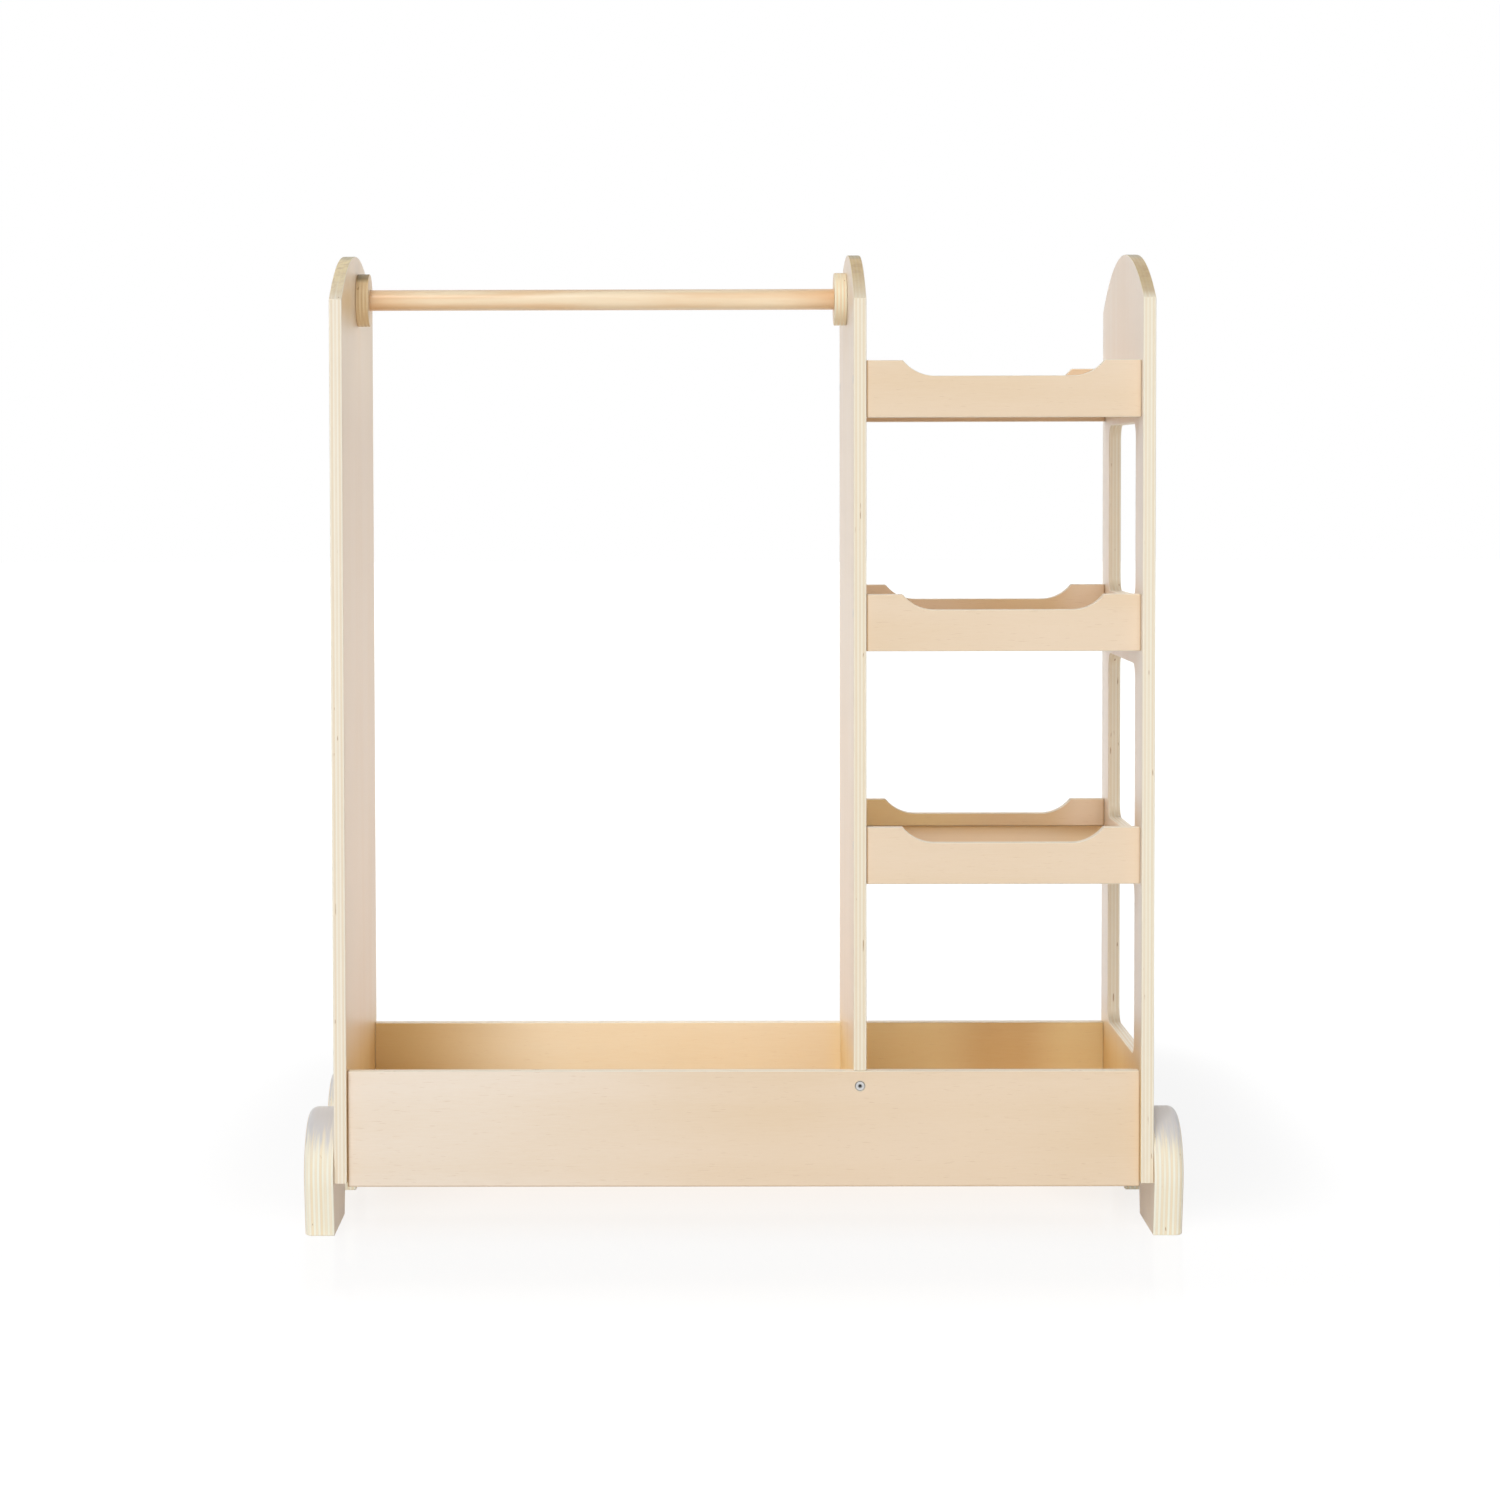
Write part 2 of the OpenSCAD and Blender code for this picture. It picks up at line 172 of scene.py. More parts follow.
# %% [markdown]
# ## Plywood, first half: the edge
# Plywood is an uneven number of thin sheets, glued so that the grain turns by a right angle from one to the
# next. A cut edge shows the whole stack: a sheet cut along its grain is pale and smooth, one cut across it
# is darker and full of pores, and a hair-thin glue line lies between them. The recipe finds the sheet that
# a point lies in, and compares the direction of its grain with the way the surface faces. That gives the
# right stripes on straight edges, in the windows and round the arches alike.

# %% Which sheet, and how it is cut
WAVES = 9.0                       # scale of the slow waves in the glue lines
WANDER = 0.16                     # how far a glue line wanders, in sheets
GLUE_LINE = (0.43, 0.50)          # where it starts and is full, in sheets from the middle of one


def sheets(r, point, xyz, facing, through, grain, low, thick, count, seed):
    """through and grain are axes; low is where the board starts on the first."""
    wavy = r.noise(point, WAVES, seed=seed) - 0.5
    depth = (xyz[through] - low) * (count / thick) + wavy * WANDER
    sheet = depth.floor()
    crosswise = (sheet * 0.5).fraction() * 2        # 1 in every second sheet, else 0
    third = X + Y + Z - through - grain
    cut = (1 - crosswise) * abs(facing[grain]) + crosswise * abs(facing[third])
    glue = abs(depth.fraction() - 0.5).rise(*GLUE_LINE)
    return sheet, crosswise, cut, glue


print("a glue line wanders by up to", WANDER / 2, "of a sheet to each side")

# %% [markdown]
# ## The colour of the edge
# The two ways of cutting get one colour each, and every sheet its own small shift, because no two come from
# the same log. Pores only show where a sheet is cut across, and faint streaks run through all of them.

# %% The colour of an edge
ALONG = srgb(253, 244, 226)       # a sheet cut along its grain
ACROSS = srgb(244, 229, 203)      # a sheet cut across it
GLUE = srgb(206, 180, 142)
PORES, STREAKS = 1500.0, 22.0     # scales of their noises
SQUEEZED = 60.0                   # a streak is this much thinner through the stack than it is long


def edge_grain(r, point, sheet, cut, through, seed, along, across):
    """Darker by the cut, the sheet's own shift, the pores and the streaks, in this order."""
    shift = r.node("ShaderNodeTexWhiteNoise", {"noise_dimensions": "1D"}, {"W": sheet + seed})
    pores = r.noise(point, PORES, 3.0, 0.6, seed)
    streak = r.noise(r.stretched(point, SQUEEZED, through), STREAKS, 3.0, 0.55, seed)
    dark = cut * 0.80 + (shift - 0.5) * 0.45 + (pores - 0.5) * cut * 0.8 + (streak - 0.5) * 0.40
    return r.mix(dark.rise(0.0, 1.0), along, across), pores


print("edge colours: along the grain", [round(v, 2) for v in ALONG[:3]],
      "and across it", [round(v, 2) for v in ACROSS[:3]])

# %% [markdown]
# ## Plywood, second half: the face
# The face of a board is one broad sheet, peeled from a log. Birch has hardly any pattern: long pale fibres,
# slow clouds of a slightly warmer tone, flowing growth lines, and short brown flecks. Noise that is drawn
# out fourteen times along the grain makes the fibres, and a sine of a slow noise makes the growth lines.

# %% The colour of a face
FLECK = srgb(204, 168, 128)
DRAWN = 0.07                      # the pattern is drawn out to one over this along the grain
LINES, FIBRES, CLOUDS, FLECKS = 9.0, 620.0, 3.5, 1150.0     # scales of their noises
WAVE_COUNT = 34.0                 # the more, the closer the growth lines lie
FLECK_PEAKS = (0.66, 0.78)        # only the peaks of the noise are flecks


def face_grain(r, point, grain, seed, light, dark):
    """Darker by the growth lines, the fibres and the clouds, in this order."""
    drawn = r.stretched(point, DRAWN, grain)
    lines = (r.noise(drawn, LINES, 2.0, 0.5, seed + 3.1) * WAVE_COUNT).sine() * 0.5 + 0.5
    fibre = r.noise(drawn, FIBRES, 4.0, 0.65, seed + 5.7)
    cloud = r.noise(point, CLOUDS, 2.0, 0.5, seed + 8.3)
    fleck = r.noise(drawn, FLECKS, 1.0, 0.4, seed + 2.2).rise(*FLECK_PEAKS)
    shade = lines * 0.22 + (fibre - 0.5) * 0.55 + (cloud - 0.5) * 0.9 + 0.28
    board = r.mix(shade.rise(0.0, 1.0), light, dark)
    return r.mix(fleck * 0.30, board, FLECK), fibre


print("face:", round(1 / DRAWN), "times longer fibres than wide")

# %% [markdown]
# ## Small marks on plywood, and painted joint shadows
# Inner sheets are patched from strips, and where two strips don't quite meet, the edge shows a short brown
# dash. Where a rail or the bin's front meets a panel, a thin dark line of painted shadow lies in the small
# groove of the joint, stronger at the left ends, where the light comes from; the bin's front gets one along
# its bottom as well. Both are masks: one is a rare peak of a noise, the other the distance to one end of the
# board.

# %% Dashes and joints
GAP = srgb(176, 132, 84)
GAPS, GAP_DRAWN = 260.0, 0.22     # scale of their noise, and one over how far it is drawn out
GAP_PEAKS = (0.70, 0.76)
# painted shadow in the joints at the ends of boards, over the small real groove of the joint
JOINT_SHADOW = srgb(190, 148, 98)
JOINT_SHADOW_WIDTH = 0.0026              # in metres; the last seven tenths fade out


def gaps(r, point, grain, crosswise, seed):
    drawn = r.stretched(point, GAP_DRAWN, grain)
    return r.noise(drawn, GAPS, 1.0, 0.4, seed + 6.6).rise(*GAP_PEAKS) * crosswise


def at_ends(along, low, high, shares):
    """The shares say how strong the painted shadow line is at the low and at the high end."""
    fade = (JOINT_SHADOW_WIDTH * 0.3, JOINT_SHADOW_WIDTH)
    left = (1 - (along - low).rise(*fade)) * shares[0]
    right = (1 - (high - along).rise(*fade)) * shares[1]
    return left + right


print("a joint line is", round(JOINT_SHADOW_WIDTH * 1000, 1), "mm wide and fades out")

# %% [markdown]
# ## Painted shade on what faces up
# The crest of an arch and the head of a foot turn the ends of the grain upwards. Hardly any light comes
# from above, so these places are painted deeper as shade: olive to golden and mottled like end grain on
# the arches, with a greyer crest, and cool grey on the feet. On the feet the grey runs down into the
# stripes in streaks, as the fibres do.

# %% Crests and heads
ARCH = 1.086                      # height at which the arches begin
CREST_SHADE = srgb(154, 146, 116)
ARCH_FADE, UP_FADE = 0.01, 0.22   # the tone comes in over this height, and as the rim turns up by this much
LEVEL = (0.965, 0.994)            # how far up the normal of a nearly level rim points, 1 is straight up
MOTTLE, HEAD_STREAKS = 105.0, 330.0         # scales of their noises
GREY_FROM, GREY_FULL = 0.094, 0.130         # heights on a foot, in metres
RUNS_DOWN = 0.085                 # how much the streaks shift the grey up or down, in metres


def painted_crest_shade(r, point, xyz, rim, top, start, seed):
    """Paints a deeper tone as shade on the parts of a rim above the start of the arches that face up."""
    up = r.parts(r.node("ShaderNodeNewGeometry", out="Normal"))[Z]
    mottle = r.noise(point, MOTTLE, 3.0, 0.6, seed + 1.9)
    top = r.mix(mottle.rise(0.42, 0.64) * 0.34, top, GAP)
    top = r.mix(up.rise(*LEVEL) * 0.80, top, CREST_SHADE)
    return r.mix(up.rise(start, start + UP_FADE) * xyz[Z].rise(ARCH, ARCH + ARCH_FADE), rim, top)


# the grey on the head of a foot is painted shade, set by height and running down in streaks
def grey_head_shade(r, point, xyz, rim, head_shade, seed):
    streak = r.noise(r.stretched(point, 0.06, Y, Z), HEAD_STREAKS, 3.0, 0.6, seed + 7.7) - 0.5
    return r.mix((xyz[Z] + streak * RUNS_DOWN).rise(GREY_FROM, GREY_FULL), rim, head_shade)


print("arches begin at", ARCH, "m")

# %% [markdown]
# ## Tones of birch
# No two sheets of birch have quite the same tone, so the boards choose from a palette. Each tone is a pair
# of colours, for the light and the dark part of the figure. The first ones are the palest, the next ones
# are yellower, and the last three are deep. The tones also serve to paint light and shade: the deep and
# yellow ones stand for shade in the bin and under the trays, the pale ones for light on some boards.

# %% The palette
TONES = {                         # light and dark part of the figure
    "frost": (srgb(255, 249, 240), srgb(251, 240, 226)),
    "snow": (srgb(251, 238, 223), srgb(244, 226, 203)),
    "pale": (srgb(250, 236, 219), srgb(243, 223, 199)),
    "blush": (srgb(255, 236, 212), srgb(249, 226, 194)),
    "cream": (srgb(246, 232, 205), srgb(239, 219, 184)),
    "rosy": (srgb(247, 226, 202), srgb(240, 214, 183)),
    "plain": (srgb(244, 222, 195), srgb(237, 211, 176)),
    "honey": (srgb(245, 221, 184), srgb(236, 205, 160)),
    "straw": (srgb(255, 236, 188), srgb(250, 223, 167)),
    "gold": (srgb(255, 228, 172), srgb(248, 212, 148)),
    "amber": (srgb(240, 210, 158), srgb(230, 192, 134)),
    "tan": (srgb(228, 195, 149), srgb(218, 180, 130)),
    "toffee": (srgb(229, 199, 144), srgb(217, 180, 120)),
}
print("tones", list(TONES))

# %% [markdown]
# ## How the tone changes over a board
# Along a board the tone may drift from one to another, and most of these drifts paint light and shade: the
# deep warm shade low in the bin, the shadow at the left end of the bin's back, and the shade in the middle
# of the lower back rails. A shade patch is painted shade on one part of a board, and the outside face of a
# board keeps its own plain tone, so that the painted shade stays on the inside. In each case the light and
# the dark colour are mixed with those of the other tone, by the place of the point or by the way it faces.

# %% The tone at a point
def mixed(r, share, tone, other):
    return r.mix(share, tone[0], other[0]), r.mix(share, tone[1], other[1])


def tone_here(r, xyz, facing_out, tone, drift, patch, outside):
    """drift lists (axis, from, to, other tone); most drifts paint light and shade. patch is painted shade:
    a list of (axis, from, to) that bound it, a share and a tone. outside is a side, -1 or 1, and the plain
    tone of that face. facing_out is the normal along the thin axis."""
    here = TONES[tone]
    for axis, begin, end, other in drift:
        here = mixed(r, xyz[axis].rise(begin, end), here, TONES[other])
    if patch:
        bounds, share, other = patch
        for axis, begin, end in bounds:
            share = xyz[axis].rise(begin, end) * share
        here = mixed(r, share, here, TONES[other])
    if outside:
        side, other = outside
        here = mixed(r, (facing_out * side).rise(-0.2, 0.2), here, TONES[other])
    return here


print("a tone may drift, have a patch and change on the outside")

# %% [markdown]
# ## The whole board
# A board knows its box, the axis it is thin along and the axis of its grain. Where a surface faces along the
# thin axis it is face, elsewhere it is edge, and the rounded corner between them blends the two.

# %% Face and edge together
IS_FACE = (0.80, 0.93)            # how squarely a surface faces along the thin axis where edge becomes face


def plywood(name, box, through, grain, count, seed, tone, along=ALONG, across=ACROSS, top=None, start=0.76,
            lines=(), head_shade=None, gloss=0.4, drift=(), patch=None, outside=None):
    """along and across are the colours of the edge. An arched rim has a top colour of painted shade, which
    comes in where the normal points up by more than start. head_shade is the painted grey shade on the head
    of a foot. lines lists the axes that end in joints, with the shares of their two painted shadow lines.
    gloss is the strength of the reflection."""
    r = Recipe(bpy.data.materials.new(name))
    point = r.node("ShaderNodeTexCoord", out="Object")
    xyz = r.parts(point)
    facing = r.parts(r.node("ShaderNodeNewGeometry", out="True Normal"))
    low, high = box
    thick = high[through] - low[through]
    sheet, crosswise, cut, glue = sheets(r, point, xyz, facing, through, grain, low[through], thick,
                                         count, seed)
    rim, pores = edge_grain(r, point, sheet, cut, through, seed, along, across)
    rim = r.mix(glue * 0.35, rim, GLUE)
    rim = r.mix(gaps(r, point, grain, crosswise, seed) * 0.75, rim, GAP)
    if top:
        rim = painted_crest_shade(r, point, xyz, rim, top, start, seed)
    if head_shade:
        rim = grey_head_shade(r, point, xyz, rim, head_shade, seed)
    light, dark = tone_here(r, xyz, facing[through], tone, drift, patch, outside)
    board, fibre = face_grain(r, point, grain, seed, light, dark)
    flat = abs(facing[through]).rise(*IS_FACE)
    colour = r.mix(flat, rim, board)
    # painted shadow lines where a board ends against another
    for axis, shares in lines:
        colour = r.mix(at_ends(xyz[axis], low[axis], high[axis], shares), colour, JOINT_SHADOW)
    rough = 0.40 + (1 - flat) * cut * 0.12 + (fibre - 0.5) * 0.10
    relief = flat * fibre * 0.5 + (1 - flat) * (pores * cut * 0.8 - glue * 0.4)
    return lacquer(r, colour, rough, relief,
                   Specular_IOR_Level=gloss, Coat_Weight=gloss * 0.15, Coat_Roughness=0.22)


def dress(node, material):
    nodes[node].data.materials.clear()
    nodes[node].data.materials.append(material)


print("the plywood recipe is ready")

# %% [markdown]
# ## Which board is cut how
# The grain runs up the panels and along the bin boards, rails and shelves, which is how they are cut for
# strength. All boards are 15 mm thick with seven sheets, apart from the thinner floor of the bin. Low in the
# bin the panels and the divider are painted with a deep warm shade, and above it they get paler as they
# rise; the right panel's palest tone there is painted light on its inner face. The bin boards are paler at
# the left end of the front, and the back is painted with shadow at its left end, is lighter in the middle
# and has painted shade behind the right bay. The two lower back rails are painted with shade in the middle
# and light at their ends, and the deep tone of the shelves is painted shade on their undersides. The
# shelves are left almost matt, because they face down into the light that the floor sends up. Each board
# gets its own seed and its own tone.

# %% The panels and the bin
# low on their inner faces the panels and the divider are painted with the warm shade inside the bin
OUT_OF_BIN_SHADE = (0.16, 0.24)         # heights between which a panel loses the deep tone that it has in the bin
BOARDS = {
    # board: axis of its thickness, axis of its grain, sheets, tone, and what is special about it
    # top is painted shade on the upturned rim of an arch, lighter on the left panel than on the others
    "side_panel_left": (X, Z, 7, "amber", {
        "drift": [(Z, *OUT_OF_BIN_SHADE, "rosy"), (Z, 0.92, 1.04, "blush")], "outside": (-1, "rosy"),
        # painted shadow beside the rod socket, from the socket to the panel's front edge
        "patch": ([(Y, -0.01, -0.12), (Z, 1.040, 1.075), (Z, 1.140, 1.105)], 0.75, "amber"),
        "top": srgb(246, 225, 174)}),
    # above the bin the right panel turns to frost, the palest tone, as painted light on its inner face
    "side_panel_right": (X, Z, 7, "gold", {
        "drift": [(Z, *OUT_OF_BIN_SHADE, "frost"), (Z, 0.98, 1.04, "pale")], "outside": (1, "rosy"),
        "top": srgb(202, 174, 118), "start": 0.71, "gloss": 0.9,
        "along": srgb(249, 240, 219), "across": srgb(240, 225, 196)}),
    "divider_panel": (X, Z, 7, "gold", {
        "drift": [(Z, *OUT_OF_BIN_SHADE, "rosy"), (Z, 0.30, 0.75, "pale")], "top": srgb(213, 183, 124),
        "along": srgb(251, 241, 220), "across": srgb(242, 226, 197)}),
    "bin_front_board": (Y, X, 7, "snow", {
        "drift": [(X, -0.42, 0.08, "plain")], "lines": [(X, (0.78, 0.45)), (Z, (0.40, 0.0))]}),
    # the back of the bin: painted shadow at its left end, lighter in the middle, painted shade behind the
    # right bay
    "bin_back_board": (Y, X, 7, "toffee", {
        "drift": [(X, -0.44, -0.22, "cream"), (X, 0.10, 0.16, "straw"), (X, 0.24, 0.32, "amber"),
                  (X, 0.35, 0.42, "straw")], "outside": (1, "plain")}),
    "bin_floor": (Z, X, 5, "honey", {}),
}
print(len(BOARDS), "boards so far")

# %% [markdown]
# ## The trays, and the dressing
# The three trays are cut alike, and only their back rails differ in tone, as the two lower ones carry
# painted shade. A thin line of painted shadow lies at each end of a rail, where it meets its panel. Then
# every board gets its finish.

# %% The trays, and every board dressed
# the lower back rails are honey, as painted shade under the tray above, with painted light at their ends
BACK_RAILS = {                    # level: tone, and how it drifts
    "top": ("plain", []),
    "middle": ("honey", [(X, 0.34, 0.22, "blush"), (X, 0.385, 0.43, "blush")]),
    "bottom": ("honey", [(X, 0.34, 0.22, "straw"), (X, 0.385, 0.43, "blush")]),
}
for level, (tone, drift) in BACK_RAILS.items():
    BOARDS[level + "_tray_front_rail"] = (Y, X, 7, "plain", {"lines": [(X, (0.80, 0.35))]})
    BOARDS[level + "_tray_back_rail"] = (Y, X, 7, tone, {"lines": [(X, (0.40, 0.40))], "drift": drift})
    # the tan tone of the shelves is painted shade on their undersides
    BOARDS[level + "_tray_shelf"] = (Z, X, 7, "tan", {"gloss": 0.05})
for number, (node, (through, grain, count, tone, special)) in enumerate(BOARDS.items()):
    seed = 1.37 * number + 0.5
    dress(node, plywood("birch_" + node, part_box(node), through, grain, count, seed, tone, **special))
print(len(BOARDS), "boards dressed")

# %% [markdown]
# ## Feet and sockets
# A foot is sawn from a thick block of thirteen coarse sheets, so its stripes are broad, nearly 3 mm each,
# and its round head is painted grey as shade. The two sockets of the rod are discs cut from the same
# plywood as the boards; their rims show fine stripes, painted deeper as shade where the rim turns up, and
# the left socket, which lies in the shade of the left panel, is painted deeper all over.

# %% Dress the feet and the sockets
FEET = ("foot_front_left", "foot_back_left", "foot_front_right", "foot_back_right")
for number, node in enumerate(FEET):
    dress(node, plywood("laminate_" + node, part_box(node), X, Z, 13, 40.3 + 2.9 * number, "plain",
                        along=srgb(255, 252, 236), across=srgb(250, 235, 203), head_shade=srgb(218, 216, 216)))
# the left socket's colours are a shaded copy of the right one's, and each top colour is painted shade
SOCKETS = {                       # socket: rim along and across the grain, its top, and where that starts
    "rod_socket_left": (srgb(246, 222, 180), srgb(228, 196, 146), srgb(150, 134, 100), 0.60),
    "rod_socket_right": (srgb(255, 248, 222), srgb(250, 228, 188), srgb(232, 200, 150), 0.85),
}
for number, (node, (along, across, top, start)) in enumerate(SOCKETS.items()):
    dress(node, plywood("disc_" + node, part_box(node), X, Z, 7, 60.1 + 3.3 * number, "honey",
                        along=along, across=across, top=top, start=start))
print(len(FEET), "feet,", len(SOCKETS), "sockets")

# %% [markdown]
# ## The rod and the dowels
# The rod is pine. It was turned from a sawn square, so the growth rings leave its surface at a slant: long
# golden and pinkish streaks that drift round the rod. Slanting the noise a little against the rod gives
# that drift. Towards its ends and along its top the rod is painted a little deeper, as shade. The dowels
# hidden in the joints are plain beech with fine, straight grain.

# %% Turned wood
RINGS, RING_COUNT = 46.0, 26.0    # scale of their noise; the higher the count, the closer the rings lie
PULLED = 0.035                    # the figure is drawn out to one over this along the wood
# the deeper tones at the ends and along the top of the rod are painted shade
END_LENGTH = 0.10                 # how far the deeper tone of an end reaches, in metres
END_SHADE, TOP_SHADE = srgb(232, 176, 116), srgb(196, 150, 104)


def turned(name, light, dark, seed, lines=900.0, slant=0.03, coat=0.15, ends=None):
    """ends is where a rod along X starts and stops."""
    r = Recipe(bpy.data.materials.new(name))
    x, y, z = r.parts(r.node("ShaderNodeTexCoord", out="Object"))
    drawn = r.node("ShaderNodeCombineXYZ", {}, {0: x * PULLED, 1: y + x * slant, 2: z})
    rings = (r.noise(drawn, RINGS, 1.5, 0.5, seed) * RING_COUNT).sine() * 0.5 + 0.5
    fibre = r.noise(drawn, lines, 3.0, 0.6, seed + 4.0)
    colour = r.mix((rings * 0.55 + (fibre - 0.5) * 0.6 + 0.12).rise(0.0, 1.0), light, dark)
    if ends:
        # painted shade towards the ends and along the top
        depth = (x - ends[0]).smaller(ends[1] - x)
        up = r.parts(r.node("ShaderNodeNewGeometry", out="Normal"))[Z].rise(0.78, 0.99)
        colour = r.mix((1 - depth.rise(0.0, END_LENGTH)) * 0.55, colour, END_SHADE)
        colour = r.mix(up * 0.45, colour, TOP_SHADE)
    return lacquer(r, colour, 0.34 + (fibre - 0.5) * 0.10, fibre, strength=0.25,
                   Specular_IOR_Level=0.4, Coat_Weight=coat, Coat_Roughness=0.12)


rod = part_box("hanging_rod")
dress("hanging_rod", turned("pine_rod", srgb(255, 234, 200), srgb(244, 206, 160), 3.0, coat=0.35,
                            ends=(rod[0].x, rod[1].x)))
for node in ("divider_dowels", "bin_corner_dowels", "tray_dowels", "rod_socket_dowels"):
    dress(node, turned("beech_" + node, srgb(222, 192, 156), srgb(198, 160, 122), 7.0,
                       lines=1400.0, slant=0.0))
print("rod", [round(v, 4) for v in rod[1] - rod[0]], "m")

# %% [markdown]
# ## Screws and inserts
# All metal parts are bright zinc plate over steel, with the slightly cloudy sheen that plating leaves. Only
# the screw in line with the divider shows at the front: a round flat head with a socket for a hexagon key.
# The socket is painted dark as shade, where light hardly reaches its bottom, and the rim of the head is
# painted a little darker as shade too.

# %% Zinc plate
SCREWS = ("divider_screws", "bin_corner_screws", "tray_screws_divider_side", "tray_screws_right_side",
          "rod_end_screws")
FOOT_METAL = ("foot_bolts", "foot_inserts")
KEY_SOCKET_SHADE = (0.0011, 0.0028)     # distances from the axis where it is darkest and where it ends, in metres
HEAD_RIM_SHADE = (0.0044, 0.0056)       # distances from the axis where the rim starts and is full, in metres


def zinc(name, seed, key_axis=None):
    """key_axis is the axis of a screw along Y, as its X and Z."""
    r = Recipe(bpy.data.materials.new(name))
    point = r.node("ShaderNodeTexCoord", out="Object")
    haze = r.noise(point, 260.0, 4.0, 0.6, seed)
    colour = r.mix(haze, srgb(188, 188, 188), srgb(216, 216, 215))
    if key_axis:
        x, _, z = r.parts(point)
        out = ((x - key_axis[0]) ** 2 + (z - key_axis[1]) ** 2) ** 0.5
        # painted shade in the hexagon socket and on the rim of the head
        colour = r.mix(1 - out.rise(*KEY_SOCKET_SHADE), colour, srgb(62, 60, 58))
        colour = r.mix(out.rise(*HEAD_RIM_SHADE), colour, srgb(150, 142, 132))
    return lacquer(r, colour, 0.24 + haze * 0.16, haze, 0.0001, 0.2, Metallic=1.0)


low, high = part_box("divider_screws")
for number, node in enumerate(SCREWS + FOOT_METAL):
    axis = ((low.x + high.x) / 2, (low.z + high.z) / 2) if node == "divider_screws" else None
    dress(node, zinc("zinc_" + node, 5.0 + number, axis))
print(len(SCREWS + FOOT_METAL), "metal pieces")

# %% [markdown]
# ## Eased edges
# Every board is sanded along its edges, so a hand never meets a sharp corner, and a thin bright line shows
# where face and edge meet. The solids have sharp corners. Modifiers round them without touching the meshes:
# the triangles are joined into whole faces first, because a bevel needs clean corners.

# %% Joined and smoothed
SAME_POINT = 0.00001              # points closer than this are one, in metres


def joined():
    """Joins doubled points and marks every face and edge as smooth."""
    group = bpy.data.node_groups.new("join_and_smooth", "GeometryNodeTree")
    for side in ("INPUT", "OUTPUT"):
        group.interface.new_socket("Geometry", in_out=side, socket_type="NodeSocketGeometry")
    kinds = ("NodeGroupInput", "GeometryNodeMergeByDistance", "GeometryNodeSetShadeSmooth",
             "GeometryNodeSetShadeSmooth", "NodeGroupOutput")
    chain = [group.nodes.new(kind) for kind in kinds]
    join, smooth_edges = chain[1], chain[3]
    join.inputs["Distance"].default_value = SAME_POINT
    smooth_edges.domain = "EDGE"
    for first, second in zip(chain, chain[1:]):
        group.links.new(first.outputs[0], second.inputs[0])
    return group


JOIN = joined()
print("steps:", [step.bl_idname for step in JOIN.nodes])

# %% [markdown]
# ## How far to round
# Boards lose a little over a millimetre, screw heads less than half of one. The curve of a foot is made of
# many short faces, so there only corners sharper than 75 degrees are rounded. Loop slide is off, because
# it would pull thin spikes across the faces from the rims of the screw holes. The last modifier lets the
# broad faces decide the shading, which keeps them flat up to the rounding.

# %% Rounded by a millimetre
BOARD_EDGE, SOCKET_EDGE, SCREW_EDGE = 0.0013, 0.0012, 0.0004     # how wide the rounding is, in metres
ONE_FACE = 0.5                    # triangles that differ by less are one face, in degrees


def ease(node, width, segments=3, corner=32):
    """corner is the smallest angle that is rounded, in degrees."""
    o = nodes[node]
    o.modifiers.new("join", "NODES").node_group = JOIN
    whole = o.modifiers.new("whole_faces", "DECIMATE")
    whole.decimate_type, whole.angle_limit = "DISSOLVE", math.radians(ONE_FACE)
    bevel = o.modifiers.new("eased", "BEVEL")
    bevel.width, bevel.segments = width, segments
    bevel.limit_method, bevel.angle_limit = "ANGLE", math.radians(corner)
    bevel.use_clamp_overlap = bevel.loop_slide = False
    even = o.modifiers.new("even_light", "WEIGHTED_NORMAL")
    even.mode, even.weight, even.keep_sharp = "FACE_AREA", 50, False


for node in BOARDS:
    ease(node, BOARD_EDGE)
for node in FEET:
    ease(node, BOARD_EDGE, corner=75)
for node in SOCKETS:
    ease(node, SOCKET_EDGE)
for node in SCREWS:
    ease(node, SCREW_EDGE, segments=2)
print("eased", len(BOARDS) + len(FEET) + len(SOCKETS) + len(SCREWS), "pieces")

# %% [markdown]
# ## A plain studio
# The closet stands in a white room. A soft sun from the upper left gives the direction of the light, a wide
# one from the front and two from behind stand for the bright walls, and hardly any light comes from above,
# so surfaces that face up look a little deeper. Suns are used because they light the top and the bottom of
# the closet evenly. The camera sees the room as plain white, also in a gloss or through glass, while all
# other rays find it dim.

# %% The room
WHITE = (1.0, 1.0, 1.0, 1.0)
ROOM_LIGHT = 0.10                 # strength of the light that the closet gets from the room


def shine(r, kind, colour, strength):
    """kind is Emission or Background."""
    return r.node("ShaderNode" + kind, {}, {"Color": colour, "Strength": strength})


def blend(r, share, first, second):
    return r.node("ShaderNodeMixShader", {}, {0: share, 1: first, 2: second})


def seen(r):
    """1 for rays that end in the camera's picture, straight, in a gloss or through glass, else 0."""
    ray = r.node("ShaderNodeLightPath", out="Is Camera Ray")
    return ray.larger(ray.twin("Is Glossy Ray")).larger(ray.twin("Is Transmission Ray"))


world = bpy.data.worlds.new("room")
bpy.context.scene.world = world
room = Recipe(world)
room.tree.nodes.clear()
both = blend(room, seen(room), shine(room, "Background", WHITE, ROOM_LIGHT),
             shine(room, "Background", WHITE, 1.0))
room.node("ShaderNodeOutputWorld", {}, {"Surface": both})
print("room of", len(room.tree.nodes), "nodes")

# %% [markdown]
# ## The suns
# A sun with a wide angle is as soft as a large window. Only the key sun shines back from the lacquer, the
# others stand for pale walls and stay unseen.

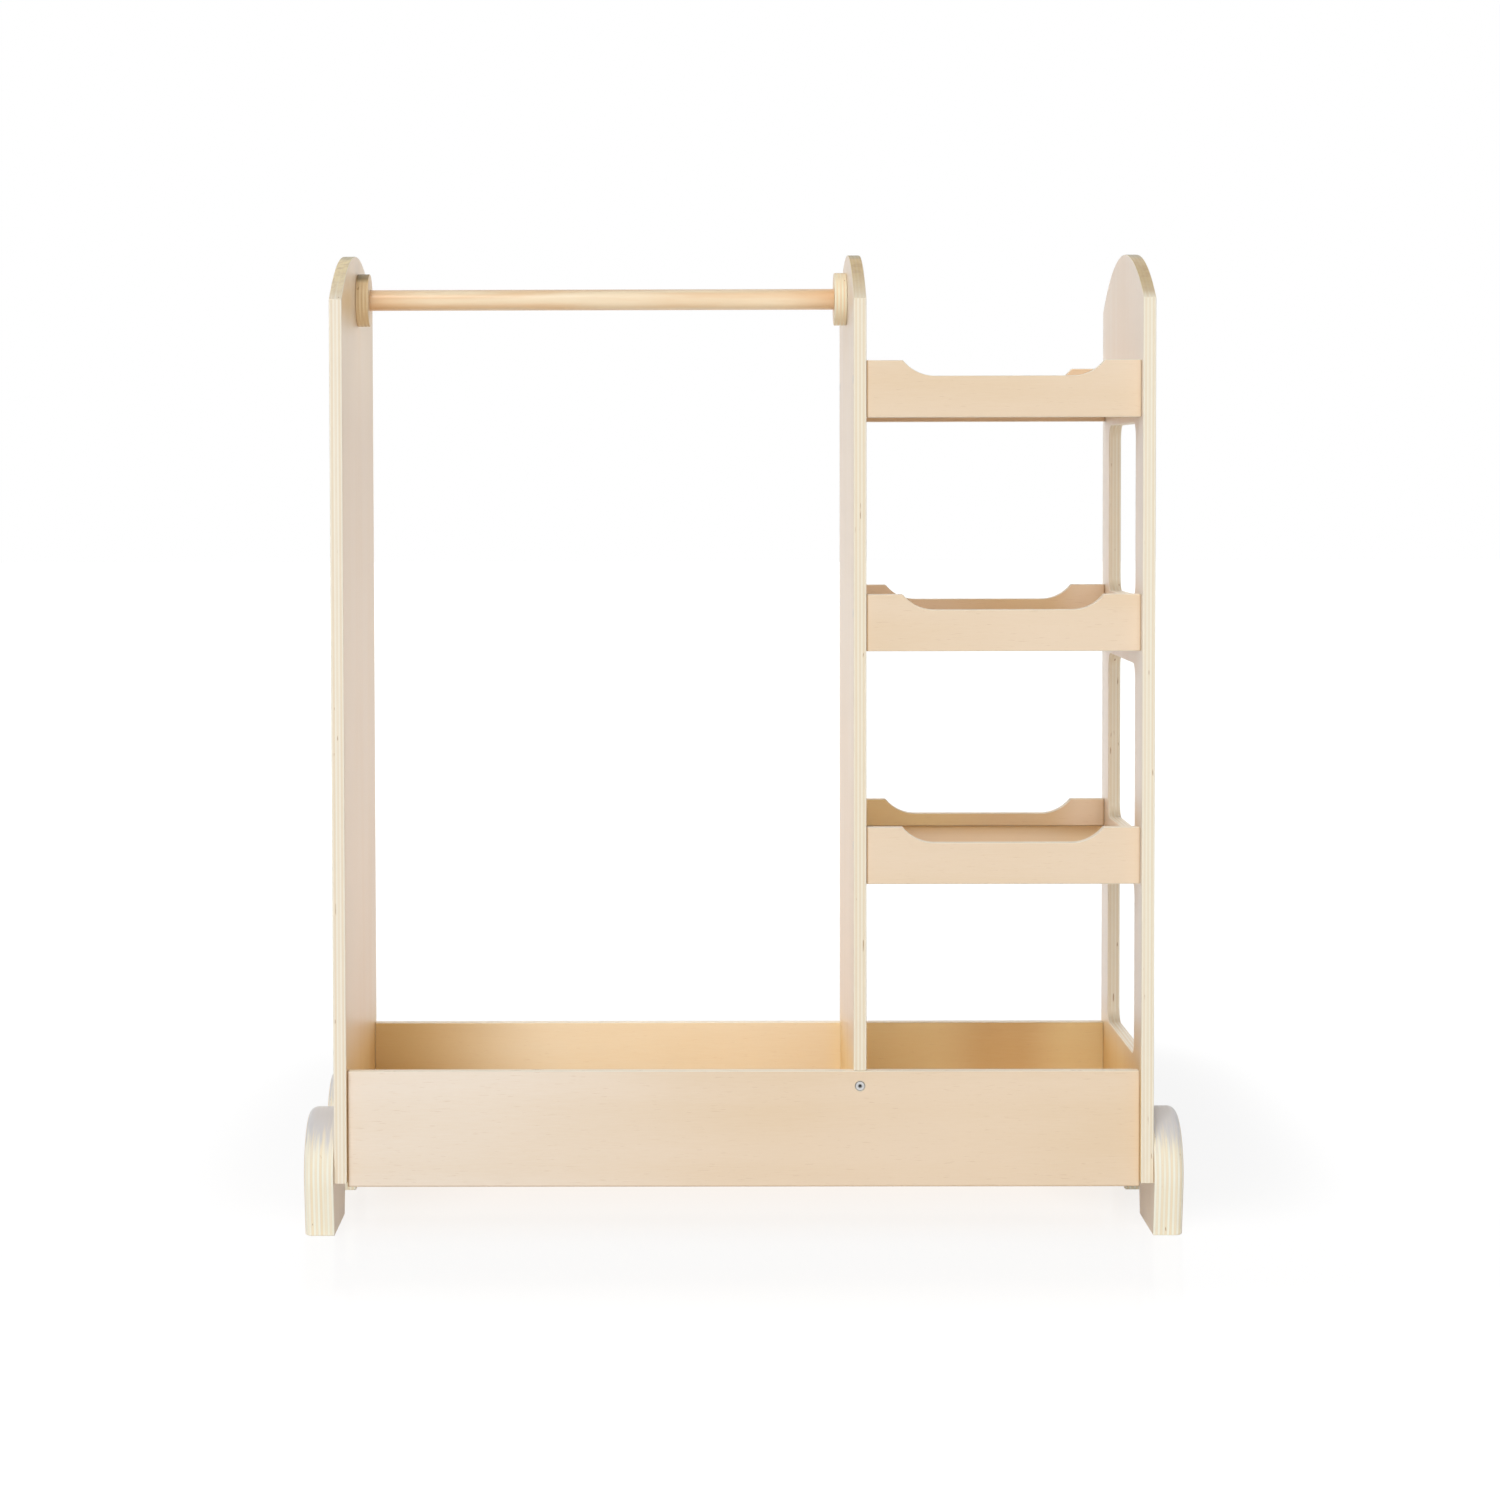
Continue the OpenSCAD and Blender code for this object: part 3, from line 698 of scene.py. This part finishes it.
# %% Soft suns
def sun(name, turn, height, spread, power, glint=False):
    """turn, height and spread are in degrees; turn 0 is in front, and negative is to the left."""
    lamp = bpy.data.lights.new(name, "SUN")
    lamp.energy, lamp.angle = power, math.radians(spread)
    o = bpy.data.objects.new(name, lamp)
    bpy.context.scene.collection.objects.link(o)
    a, b = math.radians(turn), math.radians(height)
    place = Vector((math.sin(a) * math.cos(b), -math.cos(a) * math.cos(b), math.sin(b)))
    o.rotation_mode = "QUATERNION"
    o.rotation_quaternion = (-place).to_track_quat("-Z", "Y")
    o.visible_camera, o.visible_glossy = False, glint
    print(name, [round(v, 2) for v in place], power)


sun("key", turn=-19, height=41, spread=26, power=1.02, glint=True)
sun("front_wall", turn=0, height=6, spread=70, power=1.63)
sun("left_back_wall", turn=-150, height=15, spread=70, power=1.75)
sun("right_back_wall", turn=150, height=15, spread=70, power=1.40)

# %% [markdown]
# ## The floor
# The floor is matt and pale, and bounces light back up like any floor. What the camera sees of it is mostly
# a glow of plain white, so that it merges with the room, but a share of its own shading stays. The glow
# depends on the place and on the distance to the middle of the closet, which are fetched here.

# %% A pale floor
PALE = (0.84, 0.84, 0.84, 1.0)
bpy.ops.mesh.primitive_plane_add(size=60, location=(0, 0, 0))
floor = bpy.context.object
floor.name = "studio_floor"
f = Recipe(bpy.data.materials.new("pale_floor"))
matt = f.tree.nodes["Principled BSDF"]
matt.inputs["Base Color"].default_value = PALE
matt.inputs["Roughness"].default_value = 0.6
point = f.node("ShaderNodeTexCoord", out="Object")
x, y, _ = f.parts(point)
away = f.node("ShaderNodeVectorMath", {"operation": "LENGTH"}, {0: point}, out="Value")
print("floor of", [round(v) for v in floor.dimensions[:2]], "m")

# %% [markdown]
# ## The glow of the floor
# Two glows are blended by distance: a weaker one near the closet lets its soft shadow show, and a stronger
# one hides the far edge of the floor. Under the bin a warm glow is painted light, for the light that the
# wood sends down, behind the feet two ovals of painted shadow make it a little darker, and close to the
# closet a faint reflection is mixed in.

# %% What the camera sees of the floor
WARM_LIGHT, BLACK = (1.0, 0.94, 0.885, 1.0), (0.0, 0.0, 0.0, 1.0)
OVALS = (0.53, 0.55)              # where the darker places lie: out from the middle, and behind it
PER_OVAL = (4.2, 1.38)            # one over their half width and half depth
near_glow = shine(f, "Emission", WHITE, 1.045)
far_glow = shine(f, "Emission", WHITE, 1.20)
# the warm glow under the bin is painted light from the wood
warm_light_glow = shine(f, "Emission", WARM_LIGHT, 1.03)
# lengths are in metres from the middle of the closet: under the bin, then far away or well in front
under = (y + 0.30).rise(0.0, 0.46) * (1 - y.rise(0.15, 0.30)) * (1 - abs(x).rise(0.40, 0.56))
bright = away.rise(0.7, 3.5).larger((-0.40 - y).rise(0.0, 0.40))
glow = blend(f, bright, near_glow, far_glow)
glow = blend(f, under, glow, warm_light_glow)
# two ovals of painted shadow behind the feet, 5.5 percent darker on the left and 8.5 percent on the right
out_x = abs(x - 0.03) - OVALS[0]
shadow_ovals = 1 - (((out_x * PER_OVAL[0]) ** 2) + (((y - OVALS[1]) * PER_OVAL[1]) ** 4)).rise(0.0, 1.0)
dark = shine(f, "Emission", BLACK, 0.0)
glow = blend(f, shadow_ovals * (x.rise(-0.1, 0.1) * 0.03 + 0.055), glow, dark)
# the reflection ends 1.4 m away; a tenth of what is seen is the floor's own shading
gloss = f.node("ShaderNodeBsdfGlossy", {}, {"Color": WHITE, "Roughness": 0.10})
glow = blend(f, (1 - away.rise(0.5, 1.4)) * 0.05, glow, gloss)
shown = blend(f, seen(f) * 0.90, Wire(f, matt.outputs[0]), glow)
f.tree.links.new(shown.socket, f.tree.nodes["Material Output"].inputs["Surface"])
floor.data.materials.append(f.owner)
bpy.context.scene.view_settings.view_transform = "Standard"
print("floor of", len(f.tree.nodes), "nodes")

# %% [markdown]
# ## Finish
